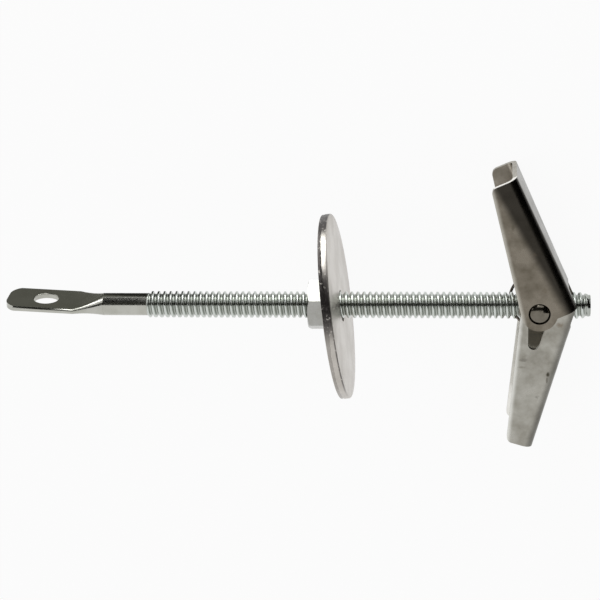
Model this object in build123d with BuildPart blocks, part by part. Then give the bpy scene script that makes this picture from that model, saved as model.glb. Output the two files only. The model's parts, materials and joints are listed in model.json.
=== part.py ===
"""Toggle bolt: a flat eye stud with a hex nut, a wide washer and a sprung toggle of two folded wings.

The bolt lies on a table as it comes to rest: on the washer's rim and the wings, with the eye end up.
Lengths are millimetres. In the bolt's own frame x runs along the stud from the eye's hole to the
toggle, y runs across it in the plane the wings open in, and z is the pivot's direction, upwards.
"""

import os
from math import asin, atan, atan2, cos, degrees, hypot, radians, sin, sqrt, tan

from build123d import *

# Stud: a 3/16 in screw of 24 threads to the inch, 4 in long, with one end forged into a flat eye
stud_length = 101.6
thread_radius = 2.32
thread_start = 18.45
end_chamfer = 0.5
end_taper = 1.6
shank_radius = 1.96
eye_width = 8.6
eye_thickness = 0.95
eye_hole_radius = 2.15
eye_hole_inset = 6.75
eye_corner = 3.0
eye_edge_round = 0.15
eye_flat_end = 5.45
eye_bend = 3.2
eye_twist = 3.0
neck_middle = 8.45
neck_width = 5.6
neck_thickness = 2.3
neck_end = 10.35
neck_end_width = 4.0

# Nut and washer
nut_across_flats = 7.94
nut_thickness = 3.6
nut_place = 46.45
nut_turn = 2.0
nut_chamfer = 0.35
washer_radius = 16.1
washer_thickness = 1.6
washer_hole_radius = 2.75
washer_slip = 0.2
washer_tilt = 6.5
washer_roll_over = 0.3
washer_burr_edge = 0.1

# Toggle: a trunnion nut carries two pressed wings on its stub pins
end_proud = 8.7
barrel_radius = 3.5
pin_radius = 1.82
pin_proud = 0.45
sheet = 0.8
bend_radius = 1.8
ear_half_width = 4.4
tip_half_width = 6.0
ear_length = 4.5
ear_radius = 3.1
web_reach = 6.1
wing_length = 24.0
tip_height = 4.65
tip_corner = 1.1
open_half_angle = 69.9
wings_rocked = 3.4
slot_reach = 5.8
slot_rise = 0.8
slot_end_radius = 1.0
notch_half_width = 2.6
notch_depth = 3.5
notch_corner = 1.0

# Torsion spring round the trunnion's lower half
wire = 0.5
wire_sides = 12
coil_radius = 5.0
coil_pitch = 0.53
leg_length = 10.0

# How far round its bends the folded sheet meets the table
bend_touch = 15.0

# Clearances
thread_clearance = 0.05
pin_clearance = 0.06
ear_gap = 0.08
barrel_gap = 0.05
wing_stop_gap = 0.03
spring_gap = 0.06
seat_gap = 0.05

# What follows from them
stud_tip = stud_length - eye_hole_inset
pivot_place = stud_tip - end_proud
eye_rise = neck_end * tan(radians(eye_bend))
thread_step = thread_radius - shank_radius
upper_web_angle = open_half_angle - wings_rocked
lower_web_angle = open_half_angle + wings_rocked
lower_wing_shift = sheet + ear_gap
bore_radius = thread_radius + thread_clearance
pivot_hole_radius = pin_radius + pin_clearance
inner_ear_face = ear_half_width - sheet
low_ear = ear_half_width + lower_wing_shift
nut_face = nut_place + nut_thickness
nut_corner_radius = nut_across_flats / sqrt(3)
tilt = radians(washer_tilt)
washer_lean = nut_across_flats / 2 * tan(tilt) + washer_thickness / 2 / cos(tilt)
washer_place = nut_face + seat_gap + washer_lean
washer_slack = washer_hole_radius - thread_radius - seat_gap - washer_thickness / 2 * tan(tilt)
washer_rise = sqrt(washer_slack**2 - washer_slip**2)
web_inside = web_reach - sheet
web_end = wing_stop_gap - web_inside / tan(radians(open_half_angle))

# How it lies: on the washer's rim, the corner where the webs meet and the upper wing's tip.
# Each point is taken along the stud, across it and by how far it lies below the stud's axis.
touch_reach = web_reach - bend_radius * (1 - sin(radians(bend_touch)))
touch_lift = bend_radius * (1 - cos(radians(bend_touch)))
rim_place = washer_place + washer_thickness / 2 - washer_roll_over
rim_drop = washer_radius - washer_rise
corner_place = pivot_place + touch_reach / sin(radians(open_half_angle))
corner_drop = low_ear - touch_lift
wing_turn = radians(upper_web_angle)
tip_place = pivot_place - wing_length * cos(wing_turn) + touch_reach * sin(wing_turn)
tip_across = wing_length * sin(wing_turn) + touch_reach * cos(wing_turn)
tip_drop = tip_half_width - touch_lift
rise_along = (rim_drop - corner_drop) / (corner_place - rim_place)
rise_across = (rim_drop - tip_drop - rise_along * (tip_place - rim_place)) / tip_across
lie_roll = -degrees(atan(rise_across))
lie_slope = degrees(atan(rise_along * cos(radians(lie_roll))))
lying = Plane.XY.rotated((lie_roll, 0, 0)).rotated((0, lie_slope, 0))
# The eye's hole, which is the origin, stands a little off the stud's axis
bolt = Plane(origin=lying.y_dir * -eye_rise, x_dir=lying.x_dir, z_dir=lying.z_dir)


def at(x, y=0.0, z=0.0):
    """A point of the bolt's own frame."""
    return bolt.from_local_coords(Vector(x, y, z))


def heading(angle):
    """A direction in the plane the wings open in, turned from the stud's far end towards y."""
    return at(cos(radians(angle)), sin(radians(angle))) - bolt.origin


def across(x):
    """The plane square to the stud at x: its axes are the bolt's y and z."""
    return Plane(origin=at(x), x_dir=bolt.y_dir, z_dir=bolt.x_dir)


def upright(x):
    """The plane along the stud and the pivot's direction: its axes are the bolt's x, from x on, and z."""
    return Plane(origin=at(x), x_dir=bolt.x_dir, z_dir=-bolt.y_dir)


stud_axis = Axis(bolt.origin, bolt.x_dir)
pivot_axis = Axis(at(pivot_place), bolt.z_dir)


# The eye's own plane: x towards the stud, y across the flat. The flat is bent up and turned a little.
eye_normal = heading(90 - eye_bend) * cos(radians(eye_twist)) + bolt.z_dir * sin(radians(eye_twist))
eye_plane = Plane(origin=at(0, eye_rise), x_dir=heading(-eye_bend), z_dir=-eye_normal)


def eye_section(x):
    """The plane square to the flat at x: its axes are the flat's thickness and its width."""
    return Plane(
        origin=eye_plane.from_local_coords(Vector(x, 0, 0)),
        x_dir=-eye_plane.z_dir,
        z_dir=eye_plane.x_dir,
    )


# The stud: the rod's end is forged into a flat eye, whose sections run from flat to round
with BuildPart() as eye_stud:
    with BuildSketch(eye_section(-eye_hole_inset)):
        SlotOverall(eye_width, eye_thickness, rotation=90)
    extrude(amount=eye_hole_inset + eye_flat_end)
    # The plan rounds the corners of the end and leaves the rest of the flat as it is
    with BuildSketch(eye_plane) as eye_plan:
        with Locations((eye_corner - eye_hole_inset, 0)):
            Rectangle(2 * eye_corner, eye_width)
        fillet(eye_plan.vertices().group_by(Axis.X)[0], eye_corner)
        with Locations((eye_corner - eye_hole_inset + neck_end, 0)):
            Rectangle(2 * neck_end, 2 * eye_width)
    extrude(amount=eye_thickness, both=True, mode=Mode.INTERSECT)
    with BuildSketch(eye_section(eye_flat_end)):
        SlotOverall(eye_width, eye_thickness, rotation=90)
    with BuildSketch(eye_section(neck_middle)):
        SlotOverall(neck_width, neck_thickness, rotation=90)
    with BuildSketch(across(neck_end)):
        SlotOverall(neck_end_width, 2 * shank_radius, rotation=90)
    loft()
    # Plain shank and the rolled thread at its crests, with a run-in and a chamfered end
    with BuildSketch(upright(0)):
        with BuildLine():
            Polyline(
                (neck_end, 0),
                (neck_end, shank_radius),
                (thread_start - thread_step, shank_radius),
                (thread_start, thread_radius),
                (stud_tip - end_taper, thread_radius),
                (stud_tip, thread_radius - end_chamfer),
                (stud_tip, 0),
                close=True,
            )
        make_face()
    revolve(axis=stud_axis)
    with BuildSketch(eye_plane):
        Circle(eye_hole_radius)
    extrude(amount=eye_thickness, both=True, mode=Mode.SUBTRACT)
    hole_rims = eye_stud.edges().filter_by(GeomType.CIRCLE)
    fillet(hole_rims.filter_by(lambda rim: abs(rim.radius - eye_hole_radius) < 1e-4), eye_edge_round)
eye_stud.part.label = "eye_stud"

# The nut: a hexagon whose corners are turned off on both faces
with BuildPart() as hex_nut:
    with BuildSketch(across(nut_place)):
        RegularPolygon(nut_across_flats / 2, 6, major_radius=False, rotation=nut_turn)
        Circle(bore_radius, mode=Mode.SUBTRACT)
    extrude(amount=nut_thickness)
    with BuildSketch(upright(nut_place)):
        with BuildLine():
            Polyline(
                (0, 0),
                (0, nut_across_flats / 2),
                (nut_chamfer, nut_corner_radius),
                (nut_thickness - nut_chamfer, nut_corner_radius),
                (nut_thickness, nut_across_flats / 2),
                (nut_thickness, 0),
                close=True,
            )
        make_face()
    revolve(axis=stud_axis, mode=Mode.INTERSECT)
hex_nut.part.label = "hex_nut"

# The washer: blanked from sheet, so one edge is rolled over and the other is a sharp burr
washer_face = Plane(
    origin=at(washer_place, -washer_slip, washer_rise), x_dir=bolt.z_dir, z_dir=heading(washer_tilt)
)
washer_section_plane = Plane(
    origin=washer_face.origin, x_dir=washer_face.x_dir, z_dir=-washer_face.y_dir
)
with BuildPart() as washer:
    with BuildSketch(washer_section_plane) as washer_section:
        with Locations(((washer_hole_radius + washer_radius) / 2, 0)):
            Rectangle(washer_radius - washer_hole_radius, washer_thickness)
        rolled_corner = washer_section.vertices().group_by(Axis.X)[-1].sort_by(Axis.Y)[-1]
        chamfer(rolled_corner, washer_roll_over)
        burr_corner = washer_section.vertices().group_by(Axis.X)[-1].sort_by(Axis.Y)[0]
        chamfer(burr_corner, washer_burr_edge)
    revolve(axis=Axis(washer_face.origin, washer_face.z_dir))
washer.part.label = "washer"

# The trunnion: a turned barrel with a domed stub pin at each end, tapped across for the stud
barrel_top = inner_ear_face - lower_wing_shift - barrel_gap
barrel_bottom = -(inner_ear_face - barrel_gap)
dome_radius = (pin_radius**2 + pin_proud**2) / (2 * pin_proud)
with BuildPart() as trunnion:
    with BuildSketch(upright(pivot_place)):
        with BuildLine():
            Line((0, -low_ear - pin_proud), (0, ear_half_width + pin_proud))
            RadiusArc((0, ear_half_width + pin_proud), (pin_radius, ear_half_width), dome_radius)
            Polyline(
                (pin_radius, ear_half_width),
                (pin_radius, barrel_top),
                (barrel_radius, barrel_top),
                (barrel_radius, barrel_bottom),
                (pin_radius, barrel_bottom),
                (pin_radius, -low_ear),
            )
            RadiusArc((pin_radius, -low_ear), (0, -low_ear - pin_proud), dome_radius)
        make_face()
    revolve(axis=pivot_axis)
    with BuildSketch(across(pivot_place)):
        Circle(bore_radius)
    extrude(amount=2 * barrel_radius, both=True, mode=Mode.SUBTRACT)
trunnion.part.label = "trunnion"


def pressed_wing(frame):
    """One wing, blanked and folded to a channel, in its own frame.

    x runs out along the web, y from the pivot to the web, and z to the slotted side, whose ear lies
    inside the other wing's plain ear. The two wings are the same stamping.
    """
    tip_edge = web_reach - tip_height
    tip_distance = hypot(wing_length, tip_edge)
    edge_angle = atan2(tip_edge, wing_length) + asin(ear_radius / tip_distance)
    edge_start = (ear_radius * sin(edge_angle), -ear_radius * cos(edge_angle))
    stock = ear_radius + sheet

    def section(x, half_width):
        """The channel's section at x: a web with two round bends and two flanges."""
        plane = Plane(
            origin=frame.from_local_coords(Vector(x, 0, 0)), x_dir=-frame.z_dir, z_dir=frame.x_dir
        )
        with BuildSketch(plane) as channel:
            with Locations((0, (web_reach - stock) / 2)):
                Rectangle(2 * half_width, web_reach + stock)
            fillet(channel.vertices().group_by(Axis.Y)[-1], bend_radius)
            with Locations((0, (web_inside - stock) / 2)):
                Rectangle(2 * (half_width - sheet), web_inside + stock, mode=Mode.SUBTRACT)
            inner_corners = channel.vertices().filter_by(lambda v: abs(v.Y - web_inside) < 1e-4)
            fillet(inner_corners, bend_radius - sheet)
        return channel.sketch

    with BuildPart() as wing:
        extrude(section(-2 * ear_radius, ear_half_width), amount=2 * ear_radius + ear_length)
        loft([section(ear_length, ear_half_width), section(wing_length, tip_half_width)])
        # The blank's outline: a round ear, a free edge that closes on the web, a rounded tip corner
        with BuildSketch(frame) as outline:
            with BuildLine():
                Polyline(
                    (web_end, web_reach + sheet),
                    (wing_length, web_reach + sheet),
                    (wing_length, tip_edge),
                    edge_start,
                    (0, 0),
                    (web_end, 0),
                    close=True,
                )
            make_face()
            Circle(ear_radius)
            fillet(outline.vertices().sort_by_distance((wing_length, tip_edge))[0], tip_corner)
        extrude(amount=2 * tip_half_width, both=True, mode=Mode.INTERSECT)
        # Pivot holes: round in the plain flange, a teardrop in the slotted one
        with BuildSketch(frame):
            Circle(pivot_hole_radius)
        extrude(amount=-2 * ear_half_width, mode=Mode.SUBTRACT)
        with BuildSketch(frame):
            with BuildSketch(mode=Mode.PRIVATE) as teardrop:
                Circle(pivot_hole_radius)
                with Locations((slot_reach, slot_rise)):
                    Circle(slot_end_radius)
                make_hull()
            add(teardrop.sketch)
        extrude(amount=2 * ear_half_width, mode=Mode.SUBTRACT)
        # The notch that lets the stud out between the two webs
        notch_plane = Plane(
            origin=frame.from_local_coords(Vector(web_end, web_reach, 0)),
            x_dir=frame.x_dir,
            z_dir=frame.y_dir,
        )
        with BuildSketch(notch_plane) as notch:
            width = notch_half_width + inner_ear_face
            with Locations((0, (notch_half_width - inner_ear_face) / 2)):
                Rectangle(2 * notch_depth, width)
            fillet(notch.vertices().group_by(Axis.X)[-1], notch_corner)
        extrude(amount=2 * sheet, both=True, mode=Mode.SUBTRACT)
    return wing


upper_out = heading(180 - upper_web_angle)
lower_out = heading(180 + lower_web_angle)
upper_wing = pressed_wing(Plane(origin=at(pivot_place), x_dir=upper_out, z_dir=-bolt.z_dir))
upper_wing.part.label = "upper_wing"
lower_wing = pressed_wing(
    Plane(origin=at(pivot_place, 0, -lower_wing_shift), x_dir=lower_out, z_dir=bolt.z_dir)
)
lower_wing.part.label = "lower_wing"

# The spring: a turn of wire round the barrel, whose legs lie along the insides of the two webs
spring_top = -(thread_radius + spring_gap + wire / 2)
spring_turn = 360 + 180 - upper_web_angle - lower_web_angle
spring_frame = Plane(
    origin=at(pivot_place, 0, spring_top), x_dir=heading(90 - upper_web_angle), z_dir=-bolt.z_dir
)
with BuildLine() as wire_line:
    coil = Helix(coil_pitch, coil_pitch * spring_turn / 360, coil_radius)
    Line(coil @ 0 - coil % 0 * leg_length, coil @ 0)
    Line(coil @ 1, coil @ 1 + coil % 1 * leg_length)
wire_path = spring_frame.from_local_coords(wire_line.line)
with BuildPart() as torsion_spring:
    # Flats this narrow stand for the round wire and keep the coil's surfaces simple
    with BuildSketch(wire_path ^ 0):
        RegularPolygon(wire / 2, wire_sides)
    sweep(path=wire_path)
torsion_spring.part.label = "torsion_spring"

os.makedirs("parts", exist_ok=True)
export_step(eye_stud.part, "parts/eye_stud.step")
export_step(hex_nut.part, "parts/hex_nut.step")
export_step(washer.part, "parts/washer.step")
export_step(trunnion.part, "parts/trunnion.step")
export_step(upper_wing.part, "parts/upper_wing.step")
export_step(lower_wing.part, "parts/lower_wing.step")
export_step(torsion_spring.part, "parts/torsion_spring.step")
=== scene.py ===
# %% [markdown]
# # A toggle bolt on a white table
#
# A long threaded stud with a flattened eye carries a small hex nut, a wide washer and a sprung toggle.
# The CAD model gives every place and motion. This script dresses it: the rolled thread, the sheared
# edges, the wound spring and the worn zinc are made here, each as geometry or as a material.
#
# Lengths inside the cells are millimetres in the bolt's own frame: x runs along the stud from the
# eye's hole to the toggle, y runs across it in the plane the wings open in, and z along the pivot.
#
# First the frame is loaded. It holds the CAD nodes, the bodies that move and the joints between them.

# %% The frame
import json

import bmesh
import bpy
import numpy as np
from mathutils import Matrix, Vector


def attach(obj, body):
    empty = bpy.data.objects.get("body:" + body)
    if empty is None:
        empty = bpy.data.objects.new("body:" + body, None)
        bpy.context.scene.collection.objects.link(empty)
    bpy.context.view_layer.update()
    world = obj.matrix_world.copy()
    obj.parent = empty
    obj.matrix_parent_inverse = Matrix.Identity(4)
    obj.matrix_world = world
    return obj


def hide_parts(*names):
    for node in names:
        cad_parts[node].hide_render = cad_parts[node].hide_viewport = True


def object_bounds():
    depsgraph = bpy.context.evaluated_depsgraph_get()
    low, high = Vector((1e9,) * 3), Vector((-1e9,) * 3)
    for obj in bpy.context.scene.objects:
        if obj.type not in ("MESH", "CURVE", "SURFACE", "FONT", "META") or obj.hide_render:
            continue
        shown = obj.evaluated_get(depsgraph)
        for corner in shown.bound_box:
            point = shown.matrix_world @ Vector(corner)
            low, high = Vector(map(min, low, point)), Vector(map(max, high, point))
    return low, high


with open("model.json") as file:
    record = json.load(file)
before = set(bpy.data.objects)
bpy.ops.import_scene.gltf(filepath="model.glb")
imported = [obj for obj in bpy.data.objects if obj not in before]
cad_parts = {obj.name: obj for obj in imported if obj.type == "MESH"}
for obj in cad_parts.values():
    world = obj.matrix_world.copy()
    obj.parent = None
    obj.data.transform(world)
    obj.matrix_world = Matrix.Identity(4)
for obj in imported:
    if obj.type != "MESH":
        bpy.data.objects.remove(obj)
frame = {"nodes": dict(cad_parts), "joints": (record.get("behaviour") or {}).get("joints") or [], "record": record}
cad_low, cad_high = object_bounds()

# %% [markdown]
# ## The bolt's own frame
#
# The joints carry it. The nut slides along x and the upper wing turns about z, at a point of the
# stud's axis, so with o the point of that axis beside the eye's hole
#
#     y = z × x,    p_row = (x y z) · p_bolt / 1000 + o
#
# Each object could be built upright and then turned. Here its points are turned instead, so that every
# object sits at the origin, as the export and the patterns on Object coordinates need.

# %% The bolt's own frame
joints = {joint["name"]: joint for joint in frame["joints"]}
along = np.array(joints["nut_travel"]["axis"])
upward = np.array(joints["upper_wing_fold"]["axis"])
sideways = np.cross(upward, along)
bolt_axes = np.column_stack([along, sideways, upward])
pivot_point = np.array(joints["upper_wing_fold"]["pos_m"])
pivot_x = float(pivot_point @ along) * 1000
axis_point = pivot_point - along * pivot_x / 1000
upper_open = joints["upper_wing_fold"]["range_deg"][1]
lower_open = joints["lower_wing_fold"]["range_deg"][1]
print("the pivot lies", round(pivot_x, 2), "mm along the stud; the wings open", upper_open, lower_open)


def in_row(points):
    """Points of the bolt's frame, in millimetres, as points of the row frame, in metres."""
    return np.asarray(points, float) @ bolt_axes.T / 1000 + axis_point


def in_bolt(points):
    """The way back: p_bolt = 1000 (p_row - o) · (x y z)."""
    return (np.asarray(points, float) - axis_point) @ bolt_axes * 1000


def heading(angle):
    """The direction in the plane the wings open in, in degrees from the stud's far end towards y."""
    return np.array([np.cos(np.radians(angle)), np.sin(np.radians(angle)), 0.0])


def node_corners(node):
    """The corners of a CAD node, in the bolt's frame."""
    vertices = frame["nodes"][node].data.vertices
    points = np.empty(3 * len(vertices))
    vertices.foreach_get("co", points)
    place = np.array(frame["nodes"][node].matrix_world)
    return in_bolt(points.reshape(-1, 3) @ place[:3, :3].T + place[:3, 3])


# %% [markdown]
# ## Meshes from arrays
#
# Every surface made here is a grid of points `(rows, columns, 3)`. Neighbours are joined by quads, and
# a closed direction joins its last line to its first. Blender's own cylinders and modifiers could
# start most pieces, but a formula says the shape outright and numpy works it out in one step.
#
# What keeps its CAD shape is copied instead. A CAD mesh is loose triangles, so a copy is merged first.


# %% Meshes from arrays
merge_distance = 1e-6


def grid_faces(rows, columns, close_columns=False):
    """Quads (i, j), (i+1, j), (i+1, j+1), (i, j+1) over a grid, as rows of four point numbers."""
    i = np.arange(rows - 1)[:, None]
    j = np.arange(columns if close_columns else columns - 1)[None, :]
    across = (j + 1) % columns
    corners = (i * columns + j, (i + 1) * columns + j, (i + 1) * columns + across, i * columns + across)
    return np.stack(np.broadcast_arrays(*corners), axis=-1).reshape(-1, 4)


def make_object(name, points, faces, material):
    """A smooth mesh object at the origin, from bolt-frame points in millimetres."""
    mesh = bpy.data.meshes.new(name)
    mesh.from_pydata(in_row(points).tolist(), [], [list(face) for face in faces])
    mesh.polygons.foreach_set("use_smooth", np.full(len(mesh.polygons), True))
    mesh.materials.append(material)
    mesh.update()
    made = bpy.data.objects.new(name, mesh)
    bpy.context.scene.collection.objects.link(made)
    return made


def crease(work, angle):
    """Keeps an edge smooth if it joins two faces that turn less than an angle, in degrees."""
    for edge in work.edges:
        edge.smooth = len(edge.link_faces) == 2 and bool(edge.calc_face_angle() < np.radians(angle))


def merged_copy(node, name, material, sharp_angle=32):
    """The CAD node's mesh, merged, as a new object whose edges of more than an angle stay sharp."""
    mesh = frame["nodes"][node].data.copy()
    mesh.name = name
    work = bmesh.new()
    work.from_mesh(mesh)
    bmesh.ops.remove_doubles(work, verts=work.verts, dist=merge_distance)
    crease(work, sharp_angle)
    for face in work.faces:
        face.smooth = True
    work.to_mesh(mesh)
    work.free()
    if "custom_normal" in mesh.attributes:
        mesh.attributes.remove(mesh.attributes["custom_normal"])
    mesh.materials.clear()
    mesh.materials.append(material)
    made = bpy.data.objects.new(name, mesh)
    bpy.context.scene.collection.objects.link(made)
    return made


def outward_normals(made):
    """Turns every face of a closed mesh outwards."""
    work = bmesh.new()
    work.from_mesh(made.data)
    bmesh.ops.recalc_face_normals(work, faces=work.faces)
    work.to_mesh(made.data)
    work.free()


def sharpen(made, angle):
    """Marks the edges that turn more than an angle, in degrees, as sharp."""
    work = bmesh.new()
    work.from_mesh(made.data)
    crease(work, angle)
    work.to_mesh(made.data)
    work.free()


def second_material(made, material, chosen):
    """Gives a further material to the faces that chosen(centres, normals) picks, in the bolt's frame."""
    made.data.materials.append(material)
    faces = made.data.polygons
    centres, normals = np.empty(3 * len(faces)), np.empty(3 * len(faces))
    numbers = np.empty(len(faces), int)
    faces.foreach_get("center", centres)
    faces.foreach_get("normal", normals)
    faces.foreach_get("material_index", numbers)
    picked = chosen(in_bolt(centres.reshape(-1, 3)), normals.reshape(-1, 3) @ bolt_axes)
    numbers[picked] = len(made.data.materials) - 1
    faces.foreach_set("material_index", numbers)


print("points closer than", merge_distance, "m are merged")

# %% [markdown]
# ## Worn plate
#
# All pieces are zinc-plated steel, so they share one group of nodes: the plate's colour drifts in soft
# clouds, smudges dull it, and a fine grain breaks its gloss. A photographed texture could give this,
# but it would need a UV map for every piece. Noise on Object coordinates needs none, and a group built
# once keeps the pieces alike.


# %% The worn plate's group
cloud_from, cloud_full = 0.4, 0.75
grain_scale = 4000
grain_strength = 0.6
smudge_dulls = 0.18
grain_dulls = 0.12


def socket(group, name, kind, default=None, out=False):
    """A socket on the group's own interface."""
    made = group.interface.new_socket(name=name, in_out="OUTPUT" if out else "INPUT", socket_type=kind)
    if default is not None:
        made.default_value = default
    return made


def link(tree, start, end):
    """Joins an output to an input."""
    tree.links.new(start, end)


def plate_group():
    """Colour, roughness and height of worn zinc plate, from object coordinates."""
    group = bpy.data.node_groups.new("worn plate", "ShaderNodeTree")
    socket(group, "Clean", "NodeSocketColor", (0.5, 0.5, 0.5, 1))
    socket(group, "Smudged", "NodeSocketColor", (0.3, 0.3, 0.3, 1))
    socket(group, "Cloud Size", "NodeSocketFloat", 300.0)
    socket(group, "Smudges", "NodeSocketFloat", 0.5)
    socket(group, "Gloss", "NodeSocketFloat", 0.3)
    socket(group, "Color", "NodeSocketColor", out=True)
    socket(group, "Roughness", "NodeSocketFloat", out=True)
    socket(group, "Height", "NodeSocketFloat", out=True)
    nodes = group.nodes
    put = nodes.new("NodeGroupInput")
    get = nodes.new("NodeGroupOutput")
    place = nodes.new("ShaderNodeTexCoord")
    clouds = nodes.new("ShaderNodeTexNoise")
    clouds.inputs["Detail"].default_value = 5
    clouds.inputs["Roughness"].default_value = 0.6
    link(group, place.outputs["Object"], clouds.inputs["Vector"])
    link(group, put.outputs["Cloud Size"], clouds.inputs["Scale"])
    spread = nodes.new("ShaderNodeMapRange")
    spread.inputs["From Min"].default_value = cloud_from
    spread.inputs["From Max"].default_value = cloud_full
    link(group, clouds.outputs["Fac"], spread.inputs["Value"])
    amount = nodes.new("ShaderNodeMath")
    amount.operation = "MULTIPLY"
    link(group, spread.outputs["Result"], amount.inputs[0])
    link(group, put.outputs["Smudges"], amount.inputs[1])
    tint = nodes.new("ShaderNodeMix")
    tint.data_type = "RGBA"
    link(group, amount.outputs[0], tint.inputs["Factor"])
    link(group, put.outputs["Clean"], tint.inputs["A"])
    link(group, put.outputs["Smudged"], tint.inputs["B"])
    link(group, tint.outputs["Result"], get.inputs["Color"])
    grain = nodes.new("ShaderNodeTexNoise")
    grain.inputs["Scale"].default_value = grain_scale
    grain.inputs["Detail"].default_value = 3
    link(group, place.outputs["Object"], grain.inputs["Vector"])
    dull = nodes.new("ShaderNodeMath")
    dull.operation = "MULTIPLY_ADD"
    dull.inputs[1].default_value = smudge_dulls
    link(group, amount.outputs[0], dull.inputs[0])
    link(group, put.outputs["Gloss"], dull.inputs[2])
    uneven = nodes.new("ShaderNodeMath")
    uneven.operation = "MULTIPLY_ADD"
    uneven.inputs[1].default_value = grain_dulls
    link(group, grain.outputs["Fac"], uneven.inputs[0])
    link(group, dull.outputs[0], uneven.inputs[2])
    link(group, uneven.outputs[0], get.inputs["Roughness"])
    link(group, grain.outputs["Fac"], get.inputs["Height"])
    return group


worn_plate = plate_group()
print("worn plate of", len(worn_plate.nodes), "nodes")


# %% A plated metal
def plated(name, clean, smudged, cloud_size=300.0, smudges=0.5, gloss=0.3, grain_depth=0.000004):
    """A metal whose plate is worn by the shared group."""
    material = bpy.data.materials.new(name)
    material.use_nodes = True
    tree = material.node_tree
    shader = tree.nodes["Principled BSDF"]
    shader.inputs["Metallic"].default_value = 1.0
    worn = tree.nodes.new("ShaderNodeGroup")
    worn.node_tree = worn_plate
    worn.inputs["Clean"].default_value = (*clean, 1)
    worn.inputs["Smudged"].default_value = (*smudged, 1)
    worn.inputs["Cloud Size"].default_value = cloud_size
    worn.inputs["Smudges"].default_value = smudges
    worn.inputs["Gloss"].default_value = gloss
    link(tree, worn.outputs["Color"], shader.inputs["Base Color"])
    link(tree, worn.outputs["Roughness"], shader.inputs["Roughness"])
    bump = tree.nodes.new("ShaderNodeBump")
    bump.inputs["Strength"].default_value = grain_strength
    bump.inputs["Distance"].default_value = grain_depth
    link(tree, worn.outputs["Height"], bump.inputs["Height"])
    link(tree, bump.outputs["Normal"], shader.inputs["Normal"])
    return material


# %% [markdown]
# ## Marks on the plate
#
# A wing gets a painted highlight along its free edge, painted shade at its fold and a few spots of
# dirt, and painted shade behind its slot. They could be painted by hand, but the marks are few and
# their places are known. So each is a distance turned into a share between 0 and 1, measured from a
# plane for an edge or from a point for a spot:
#
#     fade = 1 - smooth((p - point) · direction / width)
#     spot = 1 - smooth(|(p - place) / size| + ragged · noise)
#
# The share then mixes a colour over the plate's own.


# %% A fade from a plane
def fade_group():
    """1 on a plane, 0 from Width beyond it along Direction: painted edge highlights and painted fold shade."""
    group = bpy.data.node_groups.new("edge fade", "ShaderNodeTree")
    socket(group, "Point", "NodeSocketVector")
    socket(group, "Direction", "NodeSocketVector")
    socket(group, "Width", "NodeSocketFloat", 0.001)
    socket(group, "Amount", "NodeSocketFloat", out=True)
    nodes = group.nodes
    put, get = nodes.new("NodeGroupInput"), nodes.new("NodeGroupOutput")
    place = nodes.new("ShaderNodeTexCoord")
    offset = nodes.new("ShaderNodeVectorMath")
    offset.operation = "SUBTRACT"
    link(group, place.outputs["Object"], offset.inputs[0])
    link(group, put.outputs["Point"], offset.inputs[1])
    distance = nodes.new("ShaderNodeVectorMath")
    distance.operation = "DOT_PRODUCT"
    link(group, offset.outputs[0], distance.inputs[0])
    link(group, put.outputs["Direction"], distance.inputs[1])
    fall = nodes.new("ShaderNodeMapRange")
    fall.interpolation_type = "SMOOTHSTEP"
    fall.inputs["To Min"].default_value = 1.0
    fall.inputs["To Max"].default_value = 0.0
    link(group, distance.outputs["Value"], fall.inputs["Value"])
    link(group, put.outputs["Width"], fall.inputs["From Max"])
    link(group, fall.outputs["Result"], get.inputs["Amount"])
    return group


edge_fade = fade_group()
print("edge fade of", len(edge_fade.nodes), "nodes")

# %% A ragged spot
spot_noise_scale = 2600
spot_full = 0.7
spot_gone = 1.4


def spot_group():
    """1 inside a ragged spot about Place, of half sizes Size, and 0 outside it."""
    group = bpy.data.node_groups.new("ragged spot", "ShaderNodeTree")
    socket(group, "Place", "NodeSocketVector")
    socket(group, "Size", "NodeSocketVector")
    socket(group, "Ragged", "NodeSocketFloat", 0.8)
    socket(group, "Amount", "NodeSocketFloat", out=True)
    nodes = group.nodes
    put, get = nodes.new("NodeGroupInput"), nodes.new("NodeGroupOutput")
    place = nodes.new("ShaderNodeTexCoord")
    offset = nodes.new("ShaderNodeVectorMath")
    offset.operation = "SUBTRACT"
    link(group, place.outputs["Object"], offset.inputs[0])
    link(group, put.outputs["Place"], offset.inputs[1])
    scaled = nodes.new("ShaderNodeVectorMath")
    scaled.operation = "DIVIDE"
    link(group, offset.outputs[0], scaled.inputs[0])
    link(group, put.outputs["Size"], scaled.inputs[1])
    length = nodes.new("ShaderNodeVectorMath")
    length.operation = "LENGTH"
    link(group, scaled.outputs[0], length.inputs[0])
    ragged = nodes.new("ShaderNodeTexNoise")
    ragged.inputs["Scale"].default_value = spot_noise_scale
    ragged.inputs["Detail"].default_value = 4
    link(group, place.outputs["Object"], ragged.inputs["Vector"])
    uneven = nodes.new("ShaderNodeMath")
    uneven.operation = "MULTIPLY_ADD"
    link(group, ragged.outputs["Fac"], uneven.inputs[0])
    link(group, put.outputs["Ragged"], uneven.inputs[1])
    link(group, length.outputs["Value"], uneven.inputs[2])
    inside = nodes.new("ShaderNodeMapRange")
    inside.interpolation_type = "SMOOTHSTEP"
    inside.inputs["From Min"].default_value = spot_full
    inside.inputs["From Max"].default_value = spot_gone
    inside.inputs["To Min"].default_value = 1.0
    inside.inputs["To Max"].default_value = 0.0
    link(group, uneven.outputs[0], inside.inputs["Value"])
    link(group, inside.outputs["Result"], get.inputs["Amount"])
    return group


ragged_spot = spot_group()
print("ragged spot of", len(ragged_spot.nodes), "nodes")


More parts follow.
